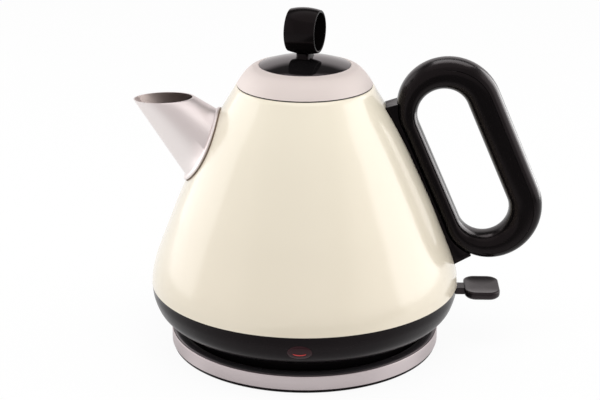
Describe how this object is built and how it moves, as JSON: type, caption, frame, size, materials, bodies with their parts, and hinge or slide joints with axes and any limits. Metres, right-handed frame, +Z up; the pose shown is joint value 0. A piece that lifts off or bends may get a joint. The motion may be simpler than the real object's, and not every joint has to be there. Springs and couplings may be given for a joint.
{
  "type": "electric kettle",
  "caption": "Cone-shaped cordless electric kettle with a slanted spout, closed loop handle, lift-off lid with a ring knob and a rocking switch, on a round power base.",
  "frame": {"origin": "on the kettle's axis, at the plane that the power base's rubber ring stands on", "axes": "+Z up along the kettle's axis; +X towards the handle and switch, with the spout towards -X; the lamp faces -Y"},
  "size_m": [0.2542, 0.194, 0.2164],
  "materials": {
    "cream_enamel": "gloss cream enamel",
    "brushed_steel": "fine brushed steel",
    "gloss_black": "gloss black moulding",
    "satin_black": "satin black moulding",
    "lens_red": "dark red lens",
    "inner_plastic": "heat-resisting inner moulding",
    "aluminium": "cast aluminium",
    "brass": "contact brass",
    "silicone": "silicone",
    "foot_rubber": "black rubber"
  },
  "bodies": {
    "power_base": {"base_tray": "satin_black", "base_band": "brushed_steel", "base_cover": "satin_black", "anti_slip_ring": "foot_rubber", "base_screws": "brushed_steel", "base_connector": "satin_black", "base_contacts": "brass", "cord_grommet": "foot_rubber"},
    "kettle": {"body_shell": "cream_enamel", "spout": "brushed_steel", "spout_strainer": "brushed_steel", "base_skirt": "satin_black", "lamp_lens": "lens_red", "lamp_bulb": "lens_red", "water_floor": "brushed_steel", "skirt_screws": "brushed_steel", "heat_spreader": "aluminium", "heating_element": "brushed_steel", "kettle_connector": "satin_black", "socket_contacts": "brass", "thermostat_control": "inner_plastic", "steam_tube": "inner_plastic", "switch_housing": "inner_plastic", "bimetal_disc": "brass", "switch_pin": "brushed_steel", "handle_front": "gloss_black", "handle_back": "gloss_black", "handle_bracket": "satin_black", "handle_bolts": "brushed_steel"},
    "lid": {"lid_cover": "brushed_steel", "lid_disc": "gloss_black", "lid_knob": "gloss_black", "knob_screw": "brushed_steel", "lid_liner": "inner_plastic", "lid_seal": "silicone"},
    "switch": {"switch_lever": "satin_black"}
  },
  "joints": [
    {"name": "kettle_lift", "type": "slide", "parent": "power_base", "child": "kettle", "axis": [0, 0, 1], "range_m": [0, 0.06]},
    {"name": "lid_lift", "type": "slide", "parent": "kettle", "child": "lid", "axis": [0, 0, 1], "range_m": [0, 0.05]},
    {"name": "switch_rock", "type": "hinge", "parent": "kettle", "child": "switch", "pos_m": [0.077, 0, 0.035], "axis": [0, 1, 0], "range_deg": [0, 8]}
  ]
}
